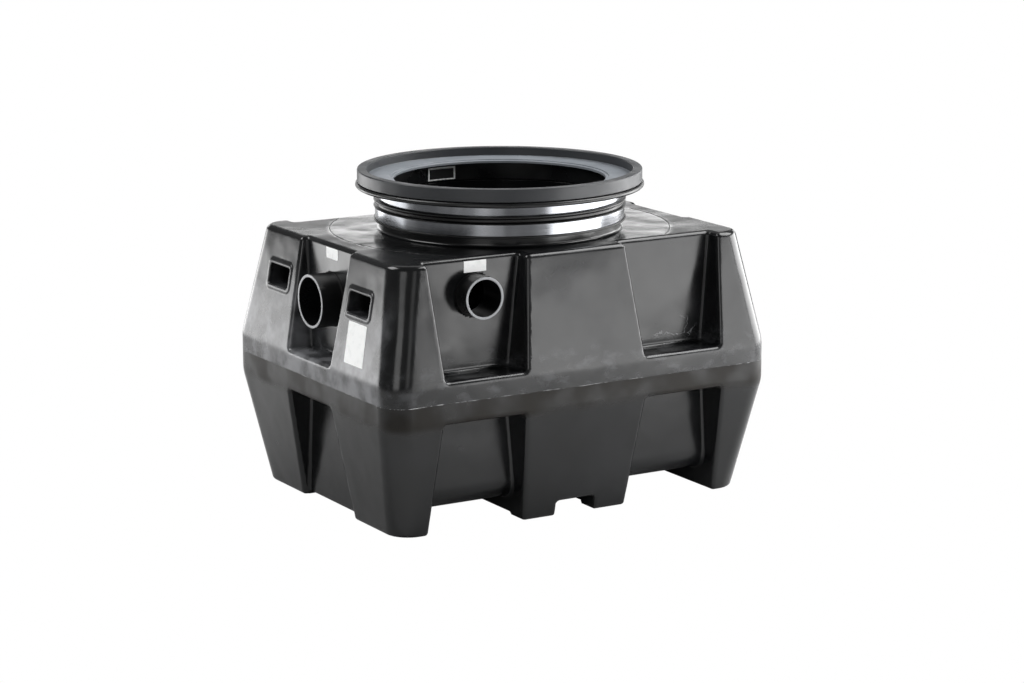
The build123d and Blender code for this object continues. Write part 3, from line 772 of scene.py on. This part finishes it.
def build_collar():
    """Neck, rubber coupling, bands, riser, gasket and cover frame, all turned.

    A profile lists its corners as (radius, height, rounding)."""
    neck = [(manhole_radius, deck_top, 0.3), (neck_foot, deck_top, 0.1), (neck_outer, deck_top + 0.5, 6.5),
            (neck_outer, neck_top, 1.5), (manhole_radius, neck_top, 1.5)]
    on_neck, on_riser, step = neck_outer + fit, riser_outer + fit, neck_top + fit
    sleeve = [
        (on_neck, sleeve_bottom, 0.8), (sleeve_outer, sleeve_bottom, 1.8),
        (sleeve_outer, lower_groove[0], 1.2), (lower_seat, lower_groove[0], 0.6),
        (lower_seat, lower_groove[1], 0.6), (sleeve_outer, lower_groove[1], 1.2),
        (sleeve_outer, 621.4, 1.8), (266, 623.6, 1.5), (266, 629, 1.5), (sleeve_outer, 632.6, 1.8),
        (sleeve_outer, upper_groove[0], 1.2), (upper_seat, upper_groove[0], 0.6),
        (upper_seat, upper_groove[1], 0.6), (sleeve_lip, upper_groove[1], 0.6),
        (sleeve_lip, sleeve_top, 0.8), (on_riser, sleeve_top, 0.8), (on_riser, step, 0.4),
        (on_neck, step, 0.4)]
    lower_band, upper_band = (
        strip(seat + fit, seat + fit + band_thickness, low + fit, high - fit, 0.3, 0.5)
        for seat, (low, high) in ((lower_seat, lower_groove), (upper_seat, upper_groove)))
    riser = [(riser_bore, riser_bottom, 0.8), (riser_outer, riser_bottom, 0.8),
             (riser_outer, flange_bottom, 2.5), (riser_flange, flange_bottom, 4.4),
             (riser_flange, riser_top, 4.4), (riser_bore, riser_top, 1.0)]
    gasket = strip(gasket_bore, gasket_outer, riser_top, gasket_top, 0.3, 0.6)
    cover = [(cover_bore, gasket_top, 1.0), (cover_outer, gasket_top, 1.5), (cover_outer, cover_top, 2.6),
             (ledge_radius, cover_top, 2.6), (ledge_radius, ledge_height, 1.2),
             (ledge_bore, ledge_height, 1.2), (ledge_bore, lip_height, 0.8), (cover_bore, lip_height, 1.6)]
    for name, corners, material, slot in (
            ("manhole_neck", neck, tank_plastic, "tank_polyethylene"),
            ("coupling_sleeve", sleeve, sleeve_rubber, "coupling_rubber"),
            ("lower_band", lower_band, stainless, "band_stainless"),
            ("upper_band", upper_band, stainless, "band_stainless"),
            ("riser_collar", riser, riser_plastic, "riser_polyethylene"),
            ("frame_gasket", gasket, sleeve_rubber, "gasket_rubber"),
            ("cover_frame", cover, frame_plastic, "frame_composite")):
        settle(turned_piece(name + "_turned", corners, material), slot, name)


def pipe_profile(bore, radius, length, face, weld):
    """Profile of a pipe end from its inner end to its mouth, with a low weld where it leaves
    the tank's face and reaches weld millimetres out of it."""
    root, run_out = face - 3, face + 4
    rise_at_root, rise_outside = 1.45, 1.25
    return [(bore, 0, 0.5), (radius, 0, 0.5), (radius, root, 0.3), (radius + rise_at_root, root, 0.5),
            (radius + rise_outside, face + weld, 1.0), (radius, run_out, 4), (radius, length, 0.9),
            (bore, length, 0.9)]


def build_pipes():
    """The four plain pipe ends, each with a low weld at its root."""
    pipe = pipe_profile(pipe_bore, pipe_radius, pipe_mouth - pipe_inner_end,
                        end_recess_face - pipe_inner_end, 1)
    vent = pipe_profile(vent_bore, vent_radius, vent_mouth - vent_inner_end,
                        long_recess_face - vent_inner_end, 0.8)
    for name, profile, start, direction in (
            ("inlet_pipe", pipe, (-pipe_inner_end, 0, pipe_height), (-1, 0, 0)),
            ("outlet_pipe", pipe, (pipe_inner_end, 0, pipe_height), (1, 0, 0)),
            ("front_vent", vent, (-vent_x, -vent_inner_end, vent_height), (0, -1, 0)),
            ("back_vent", vent, (vent_x, vent_inner_end, vent_height), (0, 1, 0))):
        settle(turned_piece(name + "_turned", profile, pipe_plastic, 128, lying(start, direction)),
               "pipe_polyethylene", name)


def sticker(name, corners, material, slot="tank_polyethylene", thickness=0.35, columns=1, bow=0):
    """Thin sheet stuck on a surface: corners run anticlockwise seen from outside.

    A bow bends it round the upright axis, onto the inside of a circle of that radius."""
    corners = np.array(corners, float)
    outward = np.cross(corners[1] - corners[0], corners[3] - corners[0])
    outward /= np.linalg.norm(outward)
    points, faces = [], []
    for column in range(columns + 1):
        share = column / columns
        for low, high in ((0, 1), (3, 2)):
            point = corners[low] + (corners[high] - corners[low]) * share
            normal = outward
            if bow:
                flat = point[:2] / np.linalg.norm(point[:2])
                point = np.array([*(flat * bow), point[2]])
                normal = np.array([*-flat, 0])
            points += [point, point + normal * thickness]
    for a in range(0, 4 * columns, 4):
        b = a + 4
        faces += [(a + 1, b + 1, b + 3, a + 3), (a, a + 2, b + 2, b), (a, b, b + 1, a + 1),
                  (a + 2, a + 3, b + 3, b + 2)]
    last = 4 * columns
    faces += [(0, 1, 3, 2), (last, last + 2, last + 3, last + 1)]
    settle(mesh_object(name, points, faces, material), slot)


def build_stickers():
    """Blank stickers where the tank carries its labels."""
    gap = 0.1

    def end_face(y, z):
        """Point just outside the leaning upper face of the inlet end."""
        lean = (deck_half[0] - belt_half[0]) * (z - belt_top) / (deck_top - belt_top)
        return (-(belt_half[0] + lean) - gap, y, z)

    def upright(low_a, high_a, low_z, high_z, corner):
        """Four corners of an upright rectangle, from the function that places one."""
        return [corner(low_a, low_z), corner(high_a, low_z), corner(high_a, high_z), corner(low_a, high_z)]

    end_x, front_y = -end_recess_face - gap, -long_recess_face - gap
    neck_y = (242, 244)
    sticker("end_panel_sticker", [end_face(-156, 352), end_face(-237, 352), end_face(-230, 437),
                                  end_face(-152, 437)], paper)
    sticker("inlet_sticker", upright(21, -31, 538, 561, lambda y, z: (end_x, y, z)), paper)
    sticker("vent_sticker", upright(-252, -199, 538, 562, lambda x, z: (x, front_y, z)), paper)
    for name, low_x, high_x, low_z, high_z, material, bow in (
            ("neck_sticker", -42, 28, 638, 667, paper, riser_bore - 0.1),
            ("neck_sticker_field", -38, 24, 641, 663, label_print, riser_bore - 0.5)):
        sticker(name, upright(low_x, high_x, low_z, high_z, lambda x, z: (x, neck_y[x > 0], z)), material,
                "riser_polyethylene", 0.4, 6, bow)


def parting_flash_tree():
    """Node tree of the ridge of flash that follows the parting line of the moulding."""
    tree = bpy.data.node_groups.new("parting_flash", "GeometryNodeTree")

    def step(kind, links, **settings):
        """First output of a new node."""
        return add(tree, kind, links, **settings).outputs[0]

    tree.interface.new_socket("Geometry", in_out="INPUT", socket_type="NodeSocketGeometry")
    sizes = {}
    for name, value in (("Length", 2 * (belt_half[0] - flash_inset) * mm), ("Width", 2 * belt_half[1] * mm),
                        ("Corner Radius", corner_radius * mm), ("Level", parting_height * mm),
                        ("Ridge Height", flash_height * mm), ("Ridge Depth", flash_depth * mm),
                        ("Seed", flash_seed)):
        socket = tree.interface.new_socket(name, in_out="INPUT", socket_type="NodeSocketFloat")
        sizes[socket.identifier] = value
    tree.interface.new_socket("Geometry", in_out="OUTPUT", socket_type="NodeSocketGeometry")
    given = tree.nodes.new("NodeGroupInput").outputs
    path = step("GeometryNodeCurvePrimitiveQuadrilateral",
                [("Width", given["Length"]), ("Height", given["Width"])])
    path = step("GeometryNodeFilletCurve",
                [("Curve", path), ("Radius", given["Corner Radius"]), ("Count", 14)], mode="POLY")
    path = step("GeometryNodeResampleCurve", [("Curve", path), ("Length", 4 * mm)], mode="LENGTH")
    ragged = step("ShaderNodeTexNoise", [("W", given["Seed"]), ("Scale", 38.0), ("Detail", 4.0)],
                  noise_dimensions="4D")
    radius = step("ShaderNodeMapRange", [("Value", ragged), ("From Min", 0.3), ("From Max", 0.7),
                                         ("To Min", 0.25), ("To Max", 1.0)])
    path = step("GeometryNodeSetCurveRadius", [("Curve", path), ("Radius", radius)])
    wander = step("ShaderNodeTexNoise", [("W", given["Seed"]), ("Scale", 9.0), ("Detail", 3.0)],
                  noise_dimensions="4D")
    drift = step("ShaderNodeMapRange", [("Value", wander), ("To Min", -flash_drift * mm),
                                        ("To Max", flash_drift * mm)])
    level = step("ShaderNodeMath", [(0, drift), (1, given["Level"])], operation="ADD")
    offset = step("ShaderNodeCombineXYZ", [("Z", level)])
    path = step("GeometryNodeSetPosition", [("Geometry", path), ("Offset", offset)])
    ring = step("GeometryNodeCurvePrimitiveCircle", [("Resolution", 8), ("Radius", 1.0)])
    shape = step("ShaderNodeCombineXYZ",
                 [("X", given["Ridge Depth"]), ("Y", given["Ridge Height"]), ("Z", 1.0)])
    ring = step("GeometryNodeTransform", [("Geometry", ring), ("Scale", shape)])
    ridge = step("GeometryNodeCurveToMesh", [("Curve", path), ("Profile Curve", ring), ("Scale", radius)])
    whole = step("GeometryNodeRealizeInstances", [("Geometry", ridge)])
    painted = step("GeometryNodeSetMaterial", [("Geometry", whole), ("Material", flash)])
    feed(tree, tree.nodes.new("NodeGroupOutput"), [(0, painted)])
    return tree, sizes


def build_parting_flash():
    """Ragged ridge along the parting line, made by its node tree and kept as a plain mesh."""
    tree, sizes = parting_flash_tree()
    piece = linked("parting_flash", bpy.data.meshes.new("parting_flash"))
    modifier = piece.modifiers.new("flash", "NODES")
    modifier.node_group = tree
    for identifier, value in sizes.items():
        modifier[identifier] = value
    bpy.context.view_layer.update()
    evaluated = piece.evaluated_get(bpy.context.evaluated_depsgraph_get())
    mesh = bpy.data.meshes.new_from_object(evaluated)
    piece.modifiers.clear()
    piece.data = mesh
    mesh.shade_smooth()
    settle(piece, "tank_polyethylene")


build_tank()
build_collar()
build_pipes()
build_stickers()
build_parting_flash()
for name in ("inlet_elbow", "outlet_elbow", "inlet_drop_pipe", "outlet_drop_pipe"):
    nodes[name].material_slots[0].material = pipe_plastic
for name in ("lower_band_screw", "upper_band_screw"):
    nodes[name].material_slots[0].material = stainless


# Studio, in metres

def toward(turn, rise):
    """Direction by its turn from the front and its rise, both in degrees."""
    turn, rise = math.radians(turn), math.radians(rise)
    return Vector((math.sin(turn) * math.cos(rise), -math.cos(turn) * math.cos(rise), math.sin(rise)))


def white_to_camera(tree, dim, white, output):
    """Show the white shader where the camera looks straight at it, and the dim one elsewhere."""
    seen = add(tree, "ShaderNodeLightPath").outputs["Is Camera Ray"]
    mixed = add(tree, "ShaderNodeMixShader", [("Fac", seen), (1, dim.outputs[0]), (2, white.outputs[0])])
    add(tree, output, [("Surface", mixed.outputs["Shader"])])


def build_floor():
    """Pale studio floor under the tank, blown out to white where the camera sees it."""
    material = bpy.data.materials.new("studio_floor_paint")
    material.use_nodes = True
    tree = material.node_tree
    tree.nodes.clear()
    paint = add(tree, "ShaderNodeBsdfDiffuse", [("Color", linear("#dadada"))])
    white = add(tree, "ShaderNodeEmission", [("Color", (1, 1, 1, 1)), ("Strength", 1.0)])
    white_to_camera(tree, paint, white, "ShaderNodeOutputMaterial")
    half = 12 / mm
    corners = [(-half, -half, 0), (half, -half, 0), (half, half, 0), (-half, half, 0)]
    floor = mesh_object("studio_floor", corners, [(0, 1, 2, 3)], material)


def build_world():
    """White studio round the floor, dimmer as a light source than it looks."""
    world = bpy.data.worlds.new("studio")
    bpy.context.scene.world = world
    world.use_nodes = True
    tree = world.node_tree
    tree.nodes.clear()
    dim, white = (add(tree, "ShaderNodeBackground", [("Color", (1, 1, 1, 1)), ("Strength", strength)])
                  for strength in (0.18, 1.0))
    white_to_camera(tree, dim, white, "ShaderNodeOutputWorld")


def softbox(name, turn, rise, distance, size, power):
    """Rectangular studio light aimed at the tank, placed by its angles from the camera's side."""
    light = bpy.data.lights.new(name, "AREA")
    light.shape = "RECTANGLE"
    light.size, light.size_y = size
    light.energy = power
    lamp = linked(name, light)
    outward = toward(camera_turn + turn, rise)
    lamp.location = Vector(light_aim) + outward * distance
    lamp.rotation_euler = (-outward).to_track_quat("-Z", "Y").to_euler()
    lamp.visible_camera = False


def build_camera():
    """Camera at the place from which the photograph was taken."""
    back = toward(camera_turn, camera_rise)
    turn, roll = math.radians(camera_turn), math.radians(camera_roll)
    right = Vector((math.cos(turn), math.sin(turn), 0))
    up = right.cross(-back)
    across = right * math.cos(roll) + up * math.sin(roll)
    along = up * math.cos(roll) - right * math.sin(roll)
    camera = bpy.data.cameras.new("camera")
    camera.sensor_width = 36
    camera.lens = camera_lens
    camera.clip_end = 60
    placed = linked("camera", camera)
    rotation = Matrix((across, along, back)).transposed().to_4x4()
    placed.matrix_world = Matrix.Translation(camera_place) @ rotation
    bpy.context.scene.camera = placed


build_floor()
build_world()
# Name, turn, rise, distance, size and power
for light in (
        ("overhead_back", 170, 62, 3.2, (3.0, 2.0), 18),
        ("overhead_right", 98, 46, 3.0, (2.0, 2.0), 90),
        ("overhead_left", -84, 46, 3.0, (1.6, 1.6), 50),
        ("left_window", -119, -5.5, 2.4, (2.2, 0.66), 16),
        ("right_window", 66, 0.0, 1.95, (1.5, 0.82), 15),
        ("right_edge", 114, 3, 3.0, (2.5, 1.4), 78),
        ("backdrop", 189, 7.5, 4.6, (3.8, 0.9), 25),
        ("right_back", 150, 9, 4.4, (1.6, 1.0), 11),
        ("left_strip", -17, 8, 5.0, (1.9, 1.8), 22),
        ("right_strip", 27, 8, 5.0, (1.1, 1.8), 5)):
    softbox(*light)
build_camera()
bpy.context.scene.view_settings.view_transform = "Standard"
